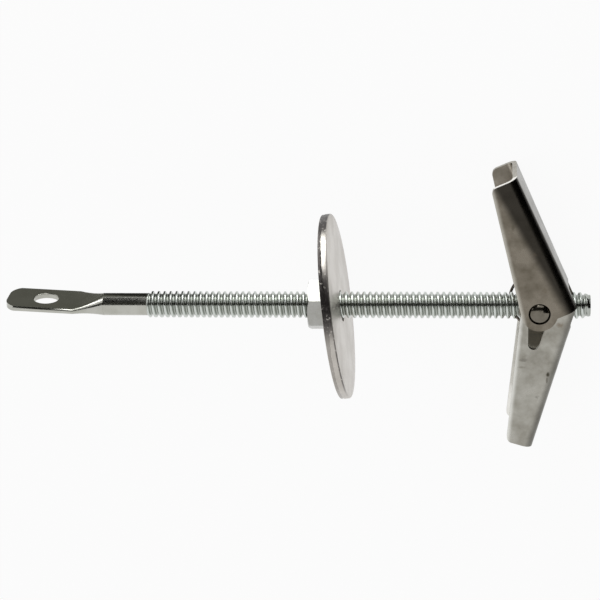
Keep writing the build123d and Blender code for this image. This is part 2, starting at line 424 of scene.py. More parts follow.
# %% Colours mixed over the plate
def tint_by(material, amount, color, strength):
    """Mixes a colour over the material's own, by a node's output."""
    tree = material.node_tree
    base = tree.nodes["Principled BSDF"].inputs["Base Color"]
    under = base.links[0].from_socket
    share = tree.nodes.new("ShaderNodeMath")
    share.operation = "MULTIPLY"
    share.inputs[1].default_value = strength
    link(tree, amount, share.inputs[0])
    mix = tree.nodes.new("ShaderNodeMix")
    mix.data_type = "RGBA"
    mix.inputs["B"].default_value = (*color, 1)
    link(tree, share.outputs[0], mix.inputs["Factor"])
    link(tree, under, mix.inputs["A"])
    link(tree, mix.outputs["Result"], base)


def add_fade(material, point, direction, width, color, strength):
    """A colour that fades out from a plane: point and direction in the bolt's frame, width in mm."""
    fade = material.node_tree.nodes.new("ShaderNodeGroup")
    fade.node_tree = edge_fade
    fade.inputs["Point"].default_value = in_row(point)
    fade.inputs["Direction"].default_value = bolt_axes @ np.asarray(direction, float)
    fade.inputs["Width"].default_value = width / 1000
    tint_by(material, fade.outputs["Amount"], color, strength)


def add_spot(material, place, size, color, strength, ragged):
    """A ragged spot of colour: place in the bolt's frame, half sizes in mm."""
    spot = material.node_tree.nodes.new("ShaderNodeGroup")
    spot.node_tree = ragged_spot
    spot.inputs["Place"].default_value = in_row(place)
    spot.inputs["Size"].default_value = np.asarray(size) / 1000
    spot.inputs["Ragged"].default_value = ragged
    tint_by(material, spot.outputs["Amount"], color, strength)


# %% [markdown]
# ## The finishes
#
# Each piece has its own steel. The stud, the nut and the thread are bright and smooth, the washer is
# paler and duller, and the wings are smudged. The two wings are one steel, painted darker on the upper
# and lighter on the lower as painted shade and light. A sheared edge differs from the flange beside it,
# while the web, a channel's inside and a bright copy of the sheared edge are painted light and shade;
# so they are finishes too. The colours are clean plate, then smudged plate.
# The numbers are the clouds' scale, the smudges' share, the roughness and, for the stud, the depth of
# its grain in metres.

# %% The finishes
stud_finish = plated("stud steel", (0.47, 0.47, 0.43), (0.3, 0.3, 0.25), 260, 0.5, 0.08, 0.0000015)
thread_finish = plated("thread steel", (0.58, 0.61, 0.58), (0.4, 0.42, 0.38), 600, 0.5, 0.1)
nut_finish = plated("nut steel", (0.37, 0.37, 0.35), (0.26, 0.25, 0.22), 500, 0.5, 0.14)
washer_finish = plated("washer steel", (0.6, 0.57, 0.53), (0.42, 0.39, 0.35), 160, 0.6, 0.26)
trunnion_finish = plated("trunnion steel", (0.16, 0.146, 0.12), (0.1, 0.09, 0.07), 900, 0.7, 0.04)
# The two wings are one steel: the upper's darker plate is painted shade, the lower's lighter plate painted light.
upper_finish = plated("upper wing steel", (0.205, 0.182, 0.148), (0.11, 0.095, 0.07), 300, 0.95, 0.2)
# The insides and the web are the same plate as their flanges, in shades of their own: painted light and shade.
inside_finish = plated("inside steel", (0.4, 0.365, 0.31), (0.22, 0.195, 0.155), 260, 0.8, 0.3)
painted_light_inside_finish = plated("painted light inside steel", (0.8, 0.79, 0.75), (0.6, 0.58, 0.53), 260, 0.6, 0.25)
lower_finish = plated("lower wing steel", (0.39, 0.38, 0.342), (0.22, 0.205, 0.17), 260, 0.9, 0.22)
web_finish = plated("web steel", (0.24, 0.235, 0.215), (0.16, 0.155, 0.135), 260, 0.7, 0.2)
sheared_finish = plated("sheared edge steel", (0.42, 0.4, 0.35), (0.22, 0.2, 0.16), 900, 0.8, 0.25)
# A painted highlight: a bright copy of the sheared edge's steel, for the near flange's tip face.
painted_highlight_finish = plated("painted highlight edge steel", (0.95, 0.93, 0.88), (0.6, 0.56, 0.5), 900, 0.4, 0.15)
spring_finish = plated("spring steel", (0.16, 0.14, 0.12), (0.08, 0.07, 0.06), 600, 0.5, 0.2)
print("finishes", [material.name for material in bpy.data.materials if material.name.endswith("steel")])

# %% [markdown]
# ## The stud
#
# The eye, the neck and the plain shank come from the CAD node. The thread is a rolled one: the die
# presses a groove and the steel rises beside it, so its crests stand higher than the plain shank.
# A screw modifier could wind a profile, but its run-in and its tapered end need the radius as a
# formula. Over one pitch the height h(t) rises and falls along a softened trapezoid, and
#
#     r(x, θ) = root + (crest - root) · h(x / pitch - θ / 2π)
#
# Rows of the grid follow the helix, so the crests stay sharp. At both ends the rows are clipped.

# %% The thread's sizes
inch = 25.4
turns_to_the_inch = 24
pitch = inch / turns_to_the_inch
crest_radius = 2.32
root_radius = 1.84
shank_radius = 1.96
under_shank = 0.01
cut_margin = 0.01
thread_from = 18.09
run_in = 0.9
root_flat = 0.16
flank_share = 0.62
end_taper = 1.6
taper_depth = 0.5
mounts = {mount["name"]: mount for mount in frame["record"]["mounts"]}
stud_end = float(in_bolt(mounts["stud_end"]["pos_m"])[0])
rows_per_pitch = 14
columns_round = 44
print("thread from", thread_from, "to", round(stud_end, 2), "mm at", round(pitch, 3), "mm a turn")


# %% The thread's surface
def thread_height(turns):
    """Height over one pitch, 0 at the root and 1 at the crest: a trapezoid with soft corners."""
    phase = np.abs((turns % 1.0) - 0.5) * 2
    flank = np.clip((phase - root_flat) / flank_share, 0, 1)
    return flank * flank * (3 - 2 * flank)


def thread_radius_at(x, turn):
    """The thread's radius at x and at that part of a turn, with its run-in and its tapered end."""
    from_start = np.clip((x - thread_from) / run_in, 0, 1)
    start_radius = shank_radius - under_shank
    root = start_radius - (shank_radius - root_radius) * from_start
    crest = np.minimum(crest_radius, start_radius + np.clip(x - thread_from, 0, None))
    worn_off = taper_depth / end_taper * np.clip(x - (stud_end - end_taper), 0, None)
    crest = np.minimum(crest, crest_radius - worn_off)
    root = np.minimum(root, crest)
    return root + (crest - root) * thread_height(x / pitch - turn)


def thread_points(first, last):
    """Grid of the threaded length: row k lies at x = first + pitch (k / rows_per_pitch - 1 + turn)."""
    turn = np.arange(columns_round) / columns_round
    rows = int(np.ceil((last - first) / pitch + 1)) * rows_per_pitch + 1
    step = np.arange(rows)[:, None] / rows_per_pitch
    x = np.clip(first + pitch * (step - 1 + turn[None, :]), first, last)
    radius = thread_radius_at(x, turn[None, :])
    angle = 2 * np.pi * turn
    return np.stack([x, radius * np.cos(angle), radius * np.sin(angle)], axis=-1)


def thread_faces(rows):
    """Quads along the helix. Past the last column a row goes on as the row one pitch further."""
    number = np.arange(rows * columns_round).reshape(rows, columns_round)
    inner = np.stack([number[:-1, :-1], number[:-1, 1:], number[1:, 1:], number[1:, :-1]], axis=-1)
    lead = rows_per_pitch
    seam = np.stack(
        [number[: -1 - lead, -1], number[lead:-1, 0], number[1 + lead :, 0], number[1:-lead, -1]],
        axis=-1,
    )
    return np.concatenate([inner.reshape(-1, 4), seam])


thread_hidden = 0.4
thread_grid = thread_points(thread_from - thread_hidden, stud_end)
print("thread of", thread_grid.shape[0], "rows and", thread_grid.shape[1], "columns")

# %% [markdown]
# The thread's roots get painted shade, darker the deeper they lie. The distance from the stud's axis
# says how deep a point lies, so it gives the shade's share without a map.


# %% The painted shade in the thread's roots
def distance_from_axis(tree):
    """The distance from the stud's axis, in metres: |(p - o) × x|."""
    place = tree.nodes.new("ShaderNodeTexCoord")
    offset = tree.nodes.new("ShaderNodeVectorMath")
    offset.operation = "SUBTRACT"
    offset.inputs[1].default_value = axis_point
    link(tree, place.outputs["Object"], offset.inputs[0])
    turned = tree.nodes.new("ShaderNodeVectorMath")
    turned.operation = "CROSS_PRODUCT"
    turned.inputs[1].default_value = along
    link(tree, offset.outputs[0], turned.inputs[0])
    length = tree.nodes.new("ShaderNodeVectorMath")
    length.operation = "LENGTH"
    link(tree, turned.outputs[0], length.inputs[0])
    return length.outputs["Value"]


# The roots get painted shade, fading out towards the crests.
painted_root_shade_reach = 0.8
painted_root_shade_color = (0.2, 0.21, 0.18)
painted_root_shade_share = 0.55
tree = thread_finish.node_tree
painted_root_shade = tree.nodes.new("ShaderNodeMapRange")
painted_root_shade.inputs["From Min"].default_value = root_radius / 1000
painted_root_shade.inputs["From Max"].default_value = (root_radius + painted_root_shade_reach * (crest_radius - root_radius)) / 1000
painted_root_shade.inputs["To Min"].default_value = 1.0
painted_root_shade.inputs["To Max"].default_value = 0.0
link(tree, distance_from_axis(tree), painted_root_shade.inputs["Value"])
tint_by(thread_finish, painted_root_shade.outputs["Result"], painted_root_shade_color, painted_root_shade_share)
print("grime up to", painted_root_shade_reach, "of the thread's height")

# %% The stud's mesh
neck_sharp_angle = 62
stud = merged_copy("eye_stud", "threaded_stud", stud_finish, neck_sharp_angle)
stud.data.materials.append(thread_finish)
work = bmesh.new()
work.from_mesh(stud.data)
plain_end = in_row((thread_from + cut_margin, 0, 0)) @ along
beyond = [corner for corner in work.verts if np.dot(corner.co, along) > plain_end]
bmesh.ops.delete(work, geom=beyond, context="VERTS")
thread_mesh = bpy.data.meshes.new("thread")
thread_quads = thread_faces(thread_grid.shape[0]).tolist()
thread_mesh.from_pydata(in_row(thread_grid.reshape(-1, 3)).tolist(), [], thread_quads)
work.from_mesh(thread_mesh)
bmesh.ops.remove_doubles(work, verts=work.verts, dist=merge_distance)
end_ring = [
    edge
    for edge in work.edges
    if edge.is_boundary and min(np.dot(corner.co, along) for corner in edge.verts) > plain_end
]
bmesh.ops.contextual_create(work, geom=end_ring)
bmesh.ops.recalc_face_normals(work, faces=work.faces)
for face in work.faces:
    face.smooth = True
    face.material_index = int(np.dot(face.calc_center_median(), along) > plain_end)
work.to_mesh(stud.data)
work.free()
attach(stud, "stud")
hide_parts("eye_stud")
print("stud", len(stud.data.polygons), "faces")

# %% [markdown]
# ## The nut
#
# A small hexagon nut with a chamfer at both ends. A cylinder of six sides and a bevel would make it, but
# the CAD node has that shape already, so the nut is its merged copy.

# %% The nut
nut = merged_copy("hex_nut", "small_hex_nut", nut_finish)
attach(nut, "nut")
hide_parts("hex_nut")
print("nut", len(nut.data.polygons), "faces")

# %% [markdown]
# ## The washer
#
# Blanked from sheet, its rim has four bands from the far face to the nut's: the edge is rolled over,
# then burnished by the punch, then torn to a rough fracture, then drawn out to a burr. A plain ring
# with a bump would show none of this in outline. So the washer is a profile of rings carried round,
# each ring at (t, r) along the washer's axis and out from it:
#
#     p(θ) = centre + t(θ) · normal + r(θ) · (cos θ · up + sin θ · side)
#
# The tear line's t and the torn rings' r are sums of sines with random phases, so they zigzag.

# %% The washer's place
washer_radius = 16.1
washer_half = 0.8
washer_hole = 2.75
washer_corners = node_corners("washer")
washer_centre = (washer_corners.min(axis=0) + washer_corners.max(axis=0)) / 2
washer_tilt = 6.5
washer_normal = heading(washer_tilt)
washer_up = np.array([0, 0, 1.0])
washer_side = np.cross(washer_normal, washer_up)
print("washer about", washer_centre.round(2), "leans", washer_tilt, "degrees")

# %% The torn edge
tear_count = 420
draws = np.random.default_rng(7)


def ripple(count, waves, reach):
    """A closed curve: the sum over waves of sin(wave · θ + a random phase) / √wave, scaled to reach."""
    angle = np.linspace(0, 2 * np.pi, count, endpoint=False)
    total = np.zeros(count)
    for wave in waves:
        total += np.sin(wave * angle + draws.uniform(0, 2 * np.pi)) / np.sqrt(wave)
    return reach * total / np.abs(total).max()


def turned_from(angle, middle):
    """Degrees from middle to angle, the short way round."""
    return (angle - middle + 180) % 360 - 180


rim_turn = np.linspace(0, 2 * np.pi, tear_count, endpoint=False)
low_tear = -0.25
tear_rise = 0.5
rise_middle = 345
rise_spread = 16
slow_reach, quick_reach, rough_reach = 0.06, 0.07, 0.035
tear_height = low_tear + tear_rise * np.exp(
    -((turned_from(np.degrees(rim_turn), rise_middle) / rise_spread) ** 2)
)
slow = ripple(tear_count, range(3, 30, 4), slow_reach)
quick = ripple(tear_count, range(31, 140, 7), quick_reach)
tear = tear_height + slow + quick
flat = np.zeros(tear_count)
rough = ripple(tear_count, range(40, 190, 11), rough_reach)
rough_too = ripple(tear_count, range(45, 190, 13), rough_reach)
print("tear line from", tear.min().round(2), "to", tear.max().round(2), "mm of the sheet's middle")

# %% The washer's rings
# Each row is a ring's place along the axis, its radius and its zone, from the hole round to the burr.
rings = [
    (-washer_half + flat, washer_hole + flat, "face"),
    (washer_half + flat, washer_hole + flat, "face"),
    (washer_half + flat, washer_radius - 0.42 + flat, "face"),
    (washer_half - 0.04 + flat, washer_radius - 0.24 + flat, "edge"),
    (washer_half - 0.13 + flat, washer_radius - 0.09 + flat, "edge"),
    (washer_half - 0.28 + flat, washer_radius - 0.005 + flat, "burnished"),
    (tear + 0.02, washer_radius - 0.005 + flat, "burnished"),
    (tear - 0.03, washer_radius - 0.09 + rough, "torn"),
    (tear * 0.7 - 0.19, washer_radius - 0.1 + rough_too, "torn"),
    (tear * 0.35 - 0.4, washer_radius - 0.1 - rough, "torn"),
    (-0.62 + flat, washer_radius - 0.09 + rough_too, "torn"),
    (-0.72 + flat, washer_radius - 0.06 + flat, "torn"),
    (-washer_half + flat, washer_radius - 0.1 + flat, "face"),
]
outward = np.cos(rim_turn)[:, None] * washer_up + np.sin(rim_turn)[:, None] * washer_side
washer_grid = np.stack(
    [washer_centre + t[:, None] * washer_normal + r[:, None] * outward for t, r, _ in rings]
)
washer_faces = grid_faces(len(rings), tear_count, close_columns=True)
first_ring = np.arange(tear_count)
last_ring = first_ring + (len(rings) - 1) * tear_count
closing = np.stack([last_ring, np.roll(last_ring, -1), np.roll(first_ring, -1), first_ring], axis=-1)
washer = make_object(
    "wide_washer",
    washer_grid.reshape(-1, 3),
    np.concatenate([washer_faces, closing[:, ::-1]]).tolist(),
    washer_finish,
)
outward_normals(washer)
print("washer", len(washer.data.polygons), "faces")

# %% [markdown]
# The rim's reflection is painted into its colour: towards y it is painted dark, as the mirror of a dark
# room, with one bright stretch of painted highlight, and the other way it is painted pale. The torn band
# is dark of itself too, as a rough fracture. A float on the mesh says how dark each ring is at each
# angle, measured from z towards y. It is made of bells and a smooth step:
#
#     bell = exp(-((angle - middle) / spread)²)    and with a fourth power where its top is flat

# %% How dark the rim is
rim_angle = (-np.degrees(rim_turn) + 180) % 360 - 180
shine_middle, shine_spread = 56, 15
low_from, low_spread = 4, 2.5
low_burnish, low_torn = 0.12, 0.6
least_dark = 0.1
lower_dark, lower_middle, lower_spread = 0.75, -22, 26
upper_dark, upper_middle, upper_spread = 0.5, 22, 18
# The bright stretch is a painted highlight, the bells are painted shade and the low side is painted pale.
shine = np.exp(-(((rim_angle - shine_middle) / shine_spread) ** 4))
low_side = 1 / (1 + np.exp((rim_angle - low_from) / low_spread))
burnish_dark = (1 - shine) * (1 - low_side) + low_burnish * low_side
torn_dark = 1 - low_torn * low_side
lower_bell = lower_dark * np.exp(-(((rim_angle - lower_middle) / lower_spread) ** 4))
upper_bell = upper_dark * np.exp(-(((rim_angle - upper_middle) / upper_spread) ** 2))
edge_dark = least_dark + lower_bell + upper_bell
shades = {"face": flat, "edge": np.clip(edge_dark, 0, 1), "burnished": burnish_dark, "torn": torn_dark}
painted_rim_shade_and_fracture = washer.data.attributes.new("painted_rim_shade_and_fracture", "FLOAT", "POINT")
painted_rim_shade_and_fracture.data.foreach_set("value", np.concatenate([shades[zone] for _, _, zone in rings]))
washer_sharp_angle = 50
sharpen(washer, washer_sharp_angle)
print("rolled edge darkest at", rim_angle[edge_dark.argmax()].round(), "degrees from z towards y")

# %% The washer's finish
speckle_scale = 2200
bare_from, bare_full = 0.6, 0.68
bare_dark = 0.15
# The rim's painted shade, with the fracture's own dark speckles, is mixed over the plate.
rim_painted_shade_and_fracture_color, rim_painted_shade_and_fracture_share = (0.04, 0.035, 0.035), 0.95
tree = washer_finish.node_tree
zone = tree.nodes.new("ShaderNodeAttribute")
zone.attribute_name = "painted_rim_shade_and_fracture"
speckle = tree.nodes.new("ShaderNodeTexNoise")
speckle.inputs["Scale"].default_value = speckle_scale
speckle.inputs["Detail"].default_value = 3
place = tree.nodes.new("ShaderNodeTexCoord")
link(tree, place.outputs["Object"], speckle.inputs["Vector"])
bare = tree.nodes.new("ShaderNodeMapRange")
bare.inputs["From Min"].default_value = bare_from
bare.inputs["From Max"].default_value = bare_full
bare.inputs["To Min"].default_value = 1.0
bare.inputs["To Max"].default_value = bare_dark
link(tree, speckle.outputs["Fac"], bare.inputs["Value"])
dark_share = tree.nodes.new("ShaderNodeMath")
dark_share.operation = "MULTIPLY"
link(tree, zone.outputs["Fac"], dark_share.inputs[0])
link(tree, bare.outputs["Result"], dark_share.inputs[1])
tint_by(washer_finish, dark_share.outputs[0], rim_painted_shade_and_fracture_color, rim_painted_shade_and_fracture_share)
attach(washer, "washer")
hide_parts("washer")
print("washer finish of", len(tree.nodes), "nodes")

# %% [markdown]
# ## The trunnion
#
# A short round barrel, drilled and tapped across for the stud, with a pin at each end that a wing's
# ear turns on. The barrel is the CAD node's. The pins' heads are peened to domes whose rims fall into
# their holes. Half a sphere, squashed, would do; as rings it is a quarter turn of an ellipse,
#
#     r(a) = pin · sin a,    z(a) = end - dome · (1 - cos a)
#
# that goes on as a straight side to a closed foot inside the barrel.

# %% The pins' domes
pin_radius = 1.82
pin_top = node_corners("trunnion")[:, 2].max()
pin_bottom = node_corners("trunnion")[:, 2].min()
top_foot = 2.5
bottom_foot = -3.4
dome_height = 0.95
pin_sides = 48
dome_rings = 12
dome_middle = 0.02


def pin_dome(end, foot):
    """Rings of a pin, from its dome's middle at end to its foot inside the barrel."""
    angle = np.linspace(0, np.pi / 2, dome_rings)
    radius = np.concatenate([pin_radius * np.sin(angle), [pin_radius]])
    radius[0] = dome_middle
    height = np.concatenate([end - np.sign(end) * dome_height * (1 - np.cos(angle)), [foot]])
    around = np.linspace(0, 2 * np.pi, pin_sides, endpoint=False)
    return np.stack(
        [
            pivot_x + radius[:, None] * np.cos(around),
            radius[:, None] * np.sin(around),
            np.broadcast_to(height[:, None], (len(radius), pin_sides)),
        ],
        axis=-1,
    )


print("pins from", round(pin_bottom, 3), "to", round(pin_top, 3), "mm")

# %% The trunnion
head_depth = 0.5
pin_sharp_angle = 40
trunnion = merged_copy("trunnion", "trunnion_nut", trunnion_finish)
work = bmesh.new()
work.from_mesh(trunnion.data)
lift = in_bolt([corner.co for corner in work.verts])[:, 2]
in_head = (lift > pin_top - head_depth) | (lift < pin_bottom + head_depth)
heads = [corner for corner, chosen in zip(work.verts, in_head) if chosen]
bmesh.ops.delete(work, geom=heads, context="VERTS")
bmesh.ops.holes_fill(work, edges=[edge for edge in work.edges if edge.is_boundary])
for end, foot in ((pin_top, top_foot), (pin_bottom, bottom_foot)):
    dome = pin_dome(end, foot)
    middle = list(range(pin_sides))
    last_ring = [(dome.shape[0] - 1) * pin_sides + k for k in middle]
    faces = grid_faces(dome.shape[0], pin_sides, close_columns=True).tolist() + [middle, last_ring]
    dome_mesh = bpy.data.meshes.new("dome")
    dome_mesh.from_pydata(in_row(dome.reshape(-1, 3)).tolist(), [], faces)
    work.from_mesh(dome_mesh)
bmesh.ops.recalc_face_normals(work, faces=work.faces)
for face in work.faces:
    face.smooth = True
open_edges = sum(not edge.is_manifold for edge in work.edges)
work.to_mesh(trunnion.data)
work.free()
sharpen(trunnion, pin_sharp_angle)
print("trunnion", len(trunnion.data.polygons), "faces,", open_edges, "open edges")
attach(trunnion, "toggle")
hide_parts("trunnion")

# %% [markdown]
# ## The wings
#
# Each is a strip of sheet folded to a channel that flares towards its tip, with two ears for the
# trunnion's pins. A plane with Solidify and Bevel could be bent to this, but the CAD nodes have the
# folded sheet with its true bends, so the wings are their merged copies. What is added is sheared faces
# and painted light and shade: a painted highlight along the free edge and on the near flange's tip,
# painted shade at the fold, and a web and an inside painted in shades of their own.
#
# In a wing's own axes x runs out along its web and y from the pivot to the web. The free edge runs at
# edge_angle to x. Faces are told apart by their normals in these axes.

# %% A wing's marks
edge_angle = 10.87
edge_start = (0.585, -3.044)
edge_highlight_width = 0.8
edge_highlight_share = 0.6
# The colour of the painted shade at a fold.
painted_fold_shade_color = (0.02, 0.018, 0.015)
square_on = 0.93
web_square_on = 0.94
inside_slant = 0.7
inside_from = 3.0
near_tip_from = 3.5


def wing_axes(open_angle, side):
    """The wing's x and y in the bolt's frame: side is 1 for the upper wing and -1 for the lower."""
    return heading(180 - side * open_angle), heading(side * (90 - open_angle))


def dress_wing(node, name, finish, inside, open_angle, side, painted_fold_shade, painted_edge_highlight):
    """A wing's copy with sheared faces, a painted highlight on the free edge and painted shade at the fold.

    The fold's painted shade is four numbers: from which y it starts, over what width it fades, how dark
    it is and by how many degrees it widens towards the tip.
    """
    fold_start, fold_width, shade, widening = painted_fold_shade
    made = merged_copy(node, name, finish)
    x_wing, y_wing = wing_axes(open_angle, side)
    centre = np.array([pivot_x, 0, 0])
    across_edge = -np.sin(np.radians(edge_angle)) * x_wing + np.cos(np.radians(edge_angle)) * y_wing
    edge_point = centre + edge_start[0] * x_wing + edge_start[1] * y_wing
    # A painted highlight along the free edge, and painted shade from the fold.
    add_fade(finish, edge_point, across_edge, edge_highlight_width, painted_edge_highlight, edge_highlight_share)
    fold_across = -np.cos(np.radians(widening)) * y_wing - np.sin(np.radians(widening)) * x_wing
    add_fade(finish, centre + fold_start * y_wing, fold_across, fold_width, painted_fold_shade_color, shade)

    def sheared(centres, normals):
        return (abs(normals @ x_wing) > square_on) | (normals @ across_edge < -square_on)

    def inner(centres, normals):
        inwards = -normals[:, 2] * np.sign(centres[:, 2])
        return (inwards > inside_slant) & (abs(centres[:, 2]) > inside_from)

    # The near flange's tip face, which gets the painted highlight.
    def bright(centres, normals):
        return (normals @ x_wing > square_on) & (centres[:, 2] > near_tip_from)

    def web(centres, normals):
        return normals @ y_wing > web_square_on

    # The web and the inside are painted in shades of their own, as painted light and shade.
    second_material(made, web_finish, web)
    second_material(made, inside, inner)
    second_material(made, sheared_finish, sheared)
    second_material(made, painted_highlight_finish, bright)
    print(name, len(made.data.polygons), "faces")
    return made


# %% The two wings
# Each wing gets painted shade at its fold and a painted highlight along its free edge.
upper_wing = dress_wing(
    "upper_wing",
    "upper_wing_channel",
    upper_finish,
    inside_finish,
    upper_open,
    1,
    (4.8, 1.7, 0.9, 5),
    (0.62, 0.6, 0.54),
)
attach(upper_wing, "upper_wing")
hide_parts("upper_wing")
lower_wing = dress_wing(
    "lower_wing",
    "lower_wing_channel",
    lower_finish,
    painted_light_inside_finish,
    lower_open,
    -1,
    (5.6, 1.2, 0.55, 0),
    (0.9, 0.9, 0.86),
)
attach(lower_wing, "lower_wing")
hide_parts("lower_wing")

# %% [markdown]
# The spots of dirt and the scratches lie where the real ones do. Each row gives a place, half sizes in
# millimetres, a colour, its strength and how ragged the spot is. The first is painted shade instead: it
# darkens the inside of the far flange behind the slot.

# %% Spots on the wings
# Painted shade on the inside of the far flange behind the slot.
add_spot(painted_light_inside_finish, (85.6, -7.4, -4.3), (2.8, 3.4, 2.5), (0.09, 0.08, 0.06), 0.93, 0.3)
lower_spots = [
    ((87.7, -11.25, 4.15), (0.4, 0.55, 0.6), (0.05, 0.045, 0.03), 0.95, 0.5),
    ((87.5, -12.3, 4.2), (0.2, 0.8, 0.6), (0.12, 0.11, 0.09), 0.8, 0.6),
    ((83.5, -8.6, 3.9), (1.3, 0.5, 0.8), (0.14, 0.13, 0.11), 0.6, 1.1),
    ((83.2, -9.9, 4.0), (1.0, 0.35, 0.8), (0.16, 0.15, 0.12), 0.5, 1.1),
    ((85.8, -15.3, 4.5), (0.7, 0.5, 0.8), (0.16, 0.15, 0.13), 0.5, 1.2),
    ((89.6, -2.3, 3.5), (1.0, 0.7, 0.8), (0.17, 0.13, 0.09), 0.6, 1.1),
]
upper_spots = [
    ((81.5, 15.8, 5.4), (0.5, 0.9, 0.8), (0.08, 0.07, 0.05), 0.5, 1.1),
    ((85.2, 10.9, 5.0), (0.8, 0.8, 0.8), (0.1, 0.08, 0.06), 0.4, 1.2),
    ((87.0, 4.4, 4.4), (0.9, 0.9, 0.8), (0.12, 0.1, 0.07), 0.4, 1.2),
]
for spot in lower_spots:
    add_spot(lower_finish, *spot)
for spot in upper_spots:
    add_spot(upper_finish, *spot)
print("spots", len(lower_spots), "and", len(upper_spots))

# %% [markdown]
# ## The spring
#
# A wire wound a little more than once round the barrel, with a leg along each wing's web. A curve with
# a bevel would make it as one piece, but the legs have to move with the wings. So the coil rides the
# trunnion and each leg rides its wing. A leg begins with a little more of the coil's own turn than its
# wing can fold, thinner than the coil and hidden in it, so the wire stays whole in every pose. All
# three follow
#
#     c(a) = pivot + R (cos a, sin a) + z(a),    a from the upper leg's foot round to the lower's
#
# and a circle is carried along that line.

# %% The spring's wire
wire_radius = 0.25
coil_radius = 5.0
coil_pitch = 0.53
leg_length = 10.0
stud_clearance = 0.06
coil_top = -(crest_radius + stud_clearance + wire_radius)
coil_turn = 360 + 180 - upper_open - lower_open
wire_sides = 14


def coil_points(first, last, count):
    """Points of the coil's middle line from one turn to another, in degrees from the upper leg's foot."""
    turn = np.linspace(first, last, count)
    angle = np.radians(90 - upper_open - turn)
    z = coil_top - coil_pitch * turn / 360
    return np.stack([pivot_x + coil_radius * np.cos(angle), coil_radius * np.sin(angle), z], axis=-1)


def wire_tube(name, middle, radius):
    """A round wire along a line of points, closed by flat ends."""
    radius = np.broadcast_to(radius, len(middle))[:, None, None]
    run = np.gradient(middle, axis=0)
    run /= np.linalg.norm(run, axis=1, keepdims=True)
    side = np.cross(run, [0, 0, 1.0])
    side /= np.linalg.norm(side, axis=1, keepdims=True)
    up = np.cross(side, run)
    angle = np.linspace(0, 2 * np.pi, wire_sides, endpoint=False)[None, :, None]
    ring = middle[:, None, :] + radius * (np.cos(angle) * side[:, None] + np.sin(angle) * up[:, None])
    rows = len(middle)
    faces = grid_faces(rows, wire_sides, close_columns=True).tolist()
    last = (rows - 1) * wire_sides
    faces.append(list(range(wire_sides)))
    faces.append([last + k for k in reversed(range(wire_sides))])
    made = make_object(name, ring.reshape(-1, 3), faces, spring_finish)
    outward_normals(made)
    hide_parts("torsion_spring")
    return made


print("the wire turns", round(coil_turn), "degrees round the barrel")

# %% The coil and the legs
coil_count = 110
leg_count = 5
hidden_count = 24
hidden_radius = 0.165
under_coil = 0.0006
overlap = 4
full_wire = wire_radius - under_coil
coil_end = coil_points(coil_turn, coil_turn, 1)[0]
coil_start = coil_points(0, 0, 1)[0]
lower_foot = coil_end + np.linspace(0, leg_length, leg_count + 1)[1:, None] * heading(180 + lower_open)
upper_foot = coil_start + np.linspace(leg_length, 0, leg_count + 1)[:-1, None] * heading(180 - upper_open)
widened = np.clip(np.arange(hidden_count) - (hidden_count - 3), 0, 1)
hidden = hidden_radius + (full_wire - hidden_radius) * widened
leg_radius = np.full(leg_count, full_wire)
coil = wire_tube("spring_coil", coil_points(0, coil_turn, coil_count), wire_radius)
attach(coil, "toggle")
upper_leg = wire_tube(
    "spring_upper_leg",
    np.vstack([upper_foot, coil_points(0, upper_open + overlap, hidden_count)]),
    np.concatenate([leg_radius, hidden[::-1]]),
)
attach(upper_leg, "upper_wing")
lower_leg = wire_tube(
    "spring_lower_leg",
    np.vstack([coil_points(coil_turn - lower_open - overlap, coil_turn, hidden_count), lower_foot]),
    np.concatenate([hidden, leg_radius]),
)
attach(lower_leg, "lower_wing")
print("spring of", [len(wire.data.polygons) for wire in (coil, upper_leg, lower_leg)], "faces")

# %% [markdown]
# ## The table and the sky
#
# The bolt lies on white paper in a white room. Paper lit by lamps alone would come out grey and uneven.
# So both are plain white where a camera, a reflection or a clear body looks at them, and only the rest
# of the light takes the paper's own colour and the room's strength. A small share of the paper's own
# shading stays, which keeps the bolt's shadow.


# %% The table
def looks_white(tree):
    """1 for camera, glossy and transmission rays, else 0."""
    rays = tree.nodes.new("ShaderNodeLightPath")
    total = tree.nodes.new("ShaderNodeMath")
    total.operation = "ADD"
    link(tree, rays.outputs["Is Camera Ray"], total.inputs[0])
    link(tree, rays.outputs["Is Glossy Ray"], total.inputs[1])
    both = tree.nodes.new("ShaderNodeMath")
    both.operation = "ADD"
    both.use_clamp = True
    link(tree, total.outputs[0], both.inputs[0])
    link(tree, rays.outputs["Is Transmission Ray"], both.inputs[1])
    return both.outputs[0]


table_half = 1.2
table_gap = 0.00005
white_share = 0.93
table_z = cad_low.z - table_gap
corners = [(-1, -1), (1, -1), (1, 1), (-1, 1)]
table_mesh = bpy.data.meshes.new("white table")
table_mesh.from_pydata([(table_half * a, table_half * b, table_z) for a, b in corners], [], [(0, 1, 2, 3)])
table = bpy.data.objects.new("white_table", table_mesh)
bpy.context.scene.collection.objects.link(table)
table_paint = bpy.data.materials.new("white table paint")
table_paint.use_nodes = True
tree = table_paint.node_tree
paint = tree.nodes["Principled BSDF"]
paint.inputs["Base Color"].default_value = (0.85, 0.85, 0.85, 1)
paint.inputs["Roughness"].default_value = 0.9
paint.inputs["Specular IOR Level"].default_value = 0.0
glow = tree.nodes.new("ShaderNodeEmission")
share = tree.nodes.new("ShaderNodeMath")
share.operation = "MULTIPLY"
share.inputs[1].default_value = white_share
link(tree, looks_white(tree), share.inputs[0])
mix = tree.nodes.new("ShaderNodeMixShader")
link(tree, share.outputs[0], mix.inputs["Fac"])
link(tree, paint.outputs[0], mix.inputs[1])
link(tree, glow.outputs[0], mix.inputs[2])
link(tree, mix.outputs[0], tree.nodes["Material Output"].inputs["Surface"])
table_mesh.materials.append(table_paint)
print("table at", round(table_z * 1000, 2), "mm")

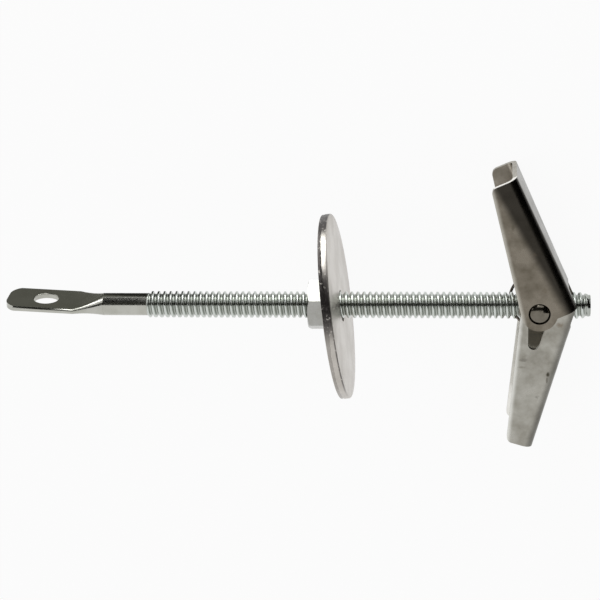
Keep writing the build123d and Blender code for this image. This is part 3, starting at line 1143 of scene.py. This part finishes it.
# %% The sky
room_strength = 0.6
world = bpy.data.worlds.new("white room")
bpy.context.scene.world = world
world.use_nodes = True
tree = world.node_tree
room = tree.nodes["Background"]
room.inputs["Color"].default_value = (1, 1, 1, 1)
room.inputs["Strength"].default_value = room_strength
white = tree.nodes.new("ShaderNodeBackground")
white.inputs["Color"].default_value = (1, 1, 1, 1)
mix = tree.nodes.new("ShaderNodeMixShader")
link(tree, looks_white(tree), mix.inputs["Fac"])
link(tree, room.outputs[0], mix.inputs[1])
link(tree, white.outputs[0], mix.inputs[2])
link(tree, mix.outputs[0], tree.nodes["World Output"].inputs["Surface"])
print("sky of strength", room_strength, "where nothing looks at it")

# %% [markdown]
# ## The camera
#
# It looks down nearly along the pivot, from a rise towards y and a small swing towards the toggle, and
# from far off. So the washer is a slim ellipse and the stud hardly narrows. Its turn could be typed as
# three angles in the row's frame. It is worked out from the stud instead, which lies nearly level in the
# picture: right is the stud's own direction less its part towards the camera, and up is square to both.
# A lean of a fraction of a degree turns these two.

# %% The camera
camera_rise = np.radians(20.5)
camera_swing = np.radians(6.0)
camera_lean = np.radians(0.16)
camera_distance = 338.0
frame_width = 104.37
aim = np.array([44.86, 0.0, 0.0])
aim_above = 0.8
toward_camera = np.array(
    [
        np.cos(camera_rise) * np.sin(camera_swing),
        np.sin(camera_rise),
        np.cos(camera_rise) * np.cos(camera_swing),
    ]
)
camera_right = np.array([1.0, 0, 0]) - toward_camera[0] * toward_camera
camera_right /= np.linalg.norm(camera_right)
camera_up = np.cross(toward_camera, camera_right)
camera_right, camera_up = (
    camera_right * np.cos(camera_lean) + camera_up * np.sin(camera_lean),
    camera_up * np.cos(camera_lean) - camera_right * np.sin(camera_lean),
)
camera_data = bpy.data.cameras.new("camera")
sensor = 36
camera_data.sensor_width = sensor
camera_data.lens = sensor * camera_distance / frame_width
camera = bpy.data.objects.new("camera", camera_data)
bpy.context.scene.collection.objects.link(camera)
eye_point = in_row(aim + camera_up * aim_above + camera_distance * toward_camera)
camera_axes = np.column_stack([camera_right, camera_up, toward_camera])
matrix = np.eye(4)
matrix[:3, :3] = bolt_axes @ camera_axes
matrix[:3, 3] = eye_point
camera.matrix_world = Matrix(matrix.tolist())
camera_data.clip_start = 0.01
camera_data.clip_end = 10
bpy.context.scene.camera = camera
print("lens", round(camera_data.lens, 1), "mm")

# %% [markdown]
# ## The lamp and the cards
#
# Polished metal shows its surroundings. In an all-white room it would be plain white, so the dark bands
# and the glare of the real bolt come from cards: flat sheets that only reflections see. A face whose
# normal stands φ degrees from z towards y mirrors what lies at r = 2φ - 20.5 degrees, which says where
# a card has to stand. What is mirrored from below the horizon needs its card on the table.


# %% The lamp
def facing(place, target):
    """The turn that points an object's own z from the target to its place."""
    return (Vector(in_row(place)) - Vector(in_row(target))).to_track_quat("Z", "Y")


def lamp(name, place, target, wide, high, power):
    """A soft oblong lamp that looks at a point of the bolt."""
    light = bpy.data.lights.new(name, "AREA")
    light.shape = "RECTANGLE"
    light.size = wide / 1000
    light.size_y = high / 1000
    light.energy = power
    made = bpy.data.objects.new(name, light)
    bpy.context.scene.collection.objects.link(made)
    made.location = Vector(in_row(place))
    made.rotation_mode = "QUATERNION"
    made.rotation_quaternion = facing(place, target)
    return made


lamp_wide, lamp_high, lamp_power = 100, 280, 0.3
lamp("top_lamp", (40, 300, 8), (40, 0, 0), lamp_wide, lamp_high, lamp_power)
print("lamp of", lamp_wide, "×", lamp_high, "mm")


# %% Cards in the air
black = (0.01, 0.01, 0.009)


def card(name, corners, color):
    """A card that only reflections see: a gap between the white sheets of the photo's tent, or a lamp."""
    mesh = bpy.data.meshes.new(name)
    mesh.from_pydata(in_row(corners).tolist(), [], [tuple(range(len(corners)))])
    material = bpy.data.materials.new(name + " paint")
    material.use_nodes = True
    tree = material.node_tree
    sheet = tree.nodes.new("ShaderNodeEmission")
    sheet.inputs["Color"].default_value = (*color, 1)
    link(tree, sheet.outputs[0], tree.nodes["Material Output"].inputs["Surface"])
    mesh.materials.append(material)
    made = bpy.data.objects.new(name, mesh)
    bpy.context.scene.collection.objects.link(made)
    made.visible_camera = False
    made.visible_diffuse = False
    made.visible_shadow = False
    made.visible_transmission = False
    return made


def ray(angle, distance):
    """A place in the y-z plane, that many degrees from z towards y."""
    return distance * np.array([0, np.sin(np.radians(angle)), np.cos(np.radians(angle))])


front_from, front_to, front_away = 9, 40, 220
front_low, front_high = ray(front_from, front_away), ray(front_to, front_away)
left, right = np.array([-900.0, 0, 0]), np.array([990.0, 0, 0])
front = [front_low + left, front_low + right, front_high + right, front_high + left]
left_side = [(-300, 300, -60), (-12, 300, -60), (-12, 300, 150), (-12, 190, 230), (-300, 190, 230)]
right_side = [(150, -14, 12), (150, 90, 12), (150, 90, 160), (150, -14, 160)]
card("camera_gap", front, (0.05, 0.05, 0.045))
card("left_gap", left_side, black)
card("right_gap", right_side, black)
print("three cards in the air")

# %% Cards on the table
card_height = 0.0003


def on_table(x, y):
    """The place on the table, in the bolt's frame, over which a bolt-frame x, y lies."""
    start, drop = in_row((x, y, 0)), bolt_axes @ np.array([0, 0, 1.0])
    reach = (table_z + card_height - start[2]) / drop[2]
    return in_bolt(start + reach * drop)


table_cards = {
    "eye_gap": ([(-70, 4), (3, 4), (3, 150), (-70, 150)], (0.16, 0.16, 0.14)),
    "shank_gap": ([(3, 3), (23, 3), (23, 300), (3, 300)], (0.03, 0.03, 0.027)),
    "top_glare": ([(19, 50), (75, 50), (75, 300), (19, 300)], (4.9, 5.0, 4.9)),
    "fold_gap": ([(107, -6), (95, 27), (80, 60), (300, 60), (300, -6)], black),
}
for name, (outline, color) in table_cards.items():
    card(name, [on_table(x, y) for x, y in outline], color)
print("cards on the table", list(table_cards))

# %% [markdown]
# ## The view
#
# The Standard view shows the colours as they were worked out. The dress has to stay inside the CAD
# box.

# %% The view
bpy.context.scene.view_settings.view_transform = "Standard"
